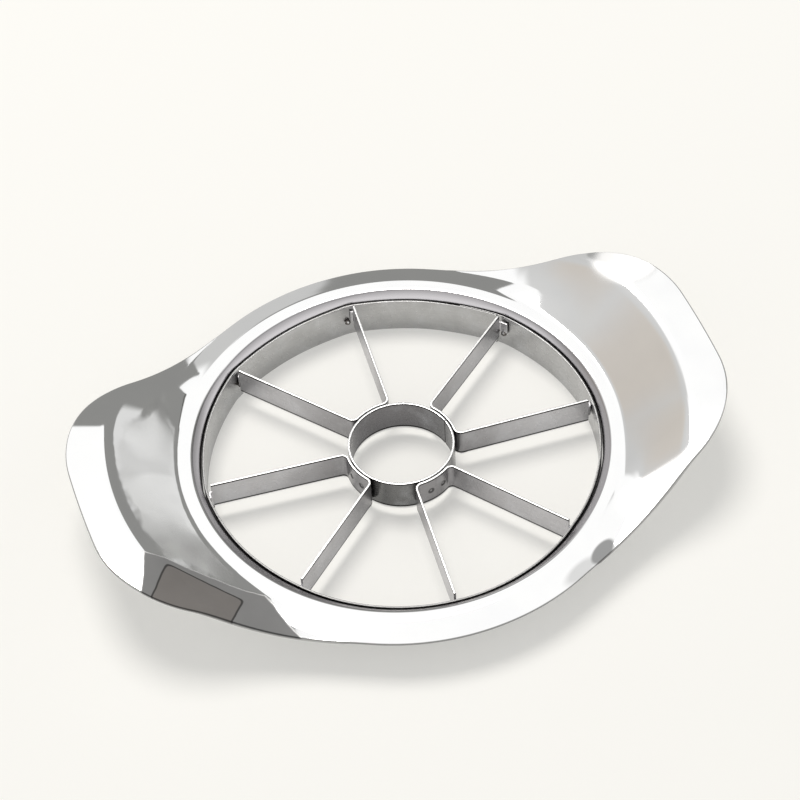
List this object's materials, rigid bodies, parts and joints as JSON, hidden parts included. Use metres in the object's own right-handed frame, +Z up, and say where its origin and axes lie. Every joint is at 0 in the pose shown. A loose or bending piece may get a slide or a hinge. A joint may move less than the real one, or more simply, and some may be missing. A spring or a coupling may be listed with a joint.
{
  "type": "apple slicer",
  "caption": "Hand apple slicer: a pressed sheet-steel rim with two raised wings round a steel band that holds radial folded blades and a coring ring",
  "frame": {"origin": "On the axis of the coring ring and the rim band, at the height of the band's lower edge, on which the slicer stands", "axes": "+Z up along the ring's axis and against the direction of cutting, +X out to the middle of one wing, +Y across"},
  "size_m": [0.1462, 0.1094, 0.0203],
  "materials": {
    "pressed_body": "mirror-polished stainless sheet with bright trimmed edges",
    "band": "satin rolled stainless strip",
    "ring": "satin rolled stainless strip, darker from handling in the press",
    "blade": "satin stainless strip with bright cut edges",
    "weld": "small tack beads, slightly dark"
  },
  "bodies": {
    "root": {"body": "pressed_body", "rim_band": "band", "core_ring": "ring", "blade_strip_right": "blade", "blade_strip_back": "blade", "blade_strip_left": "blade", "blade_strip_front": "blade", "tack_welds": "weld"}
  },
  "joints": []
}
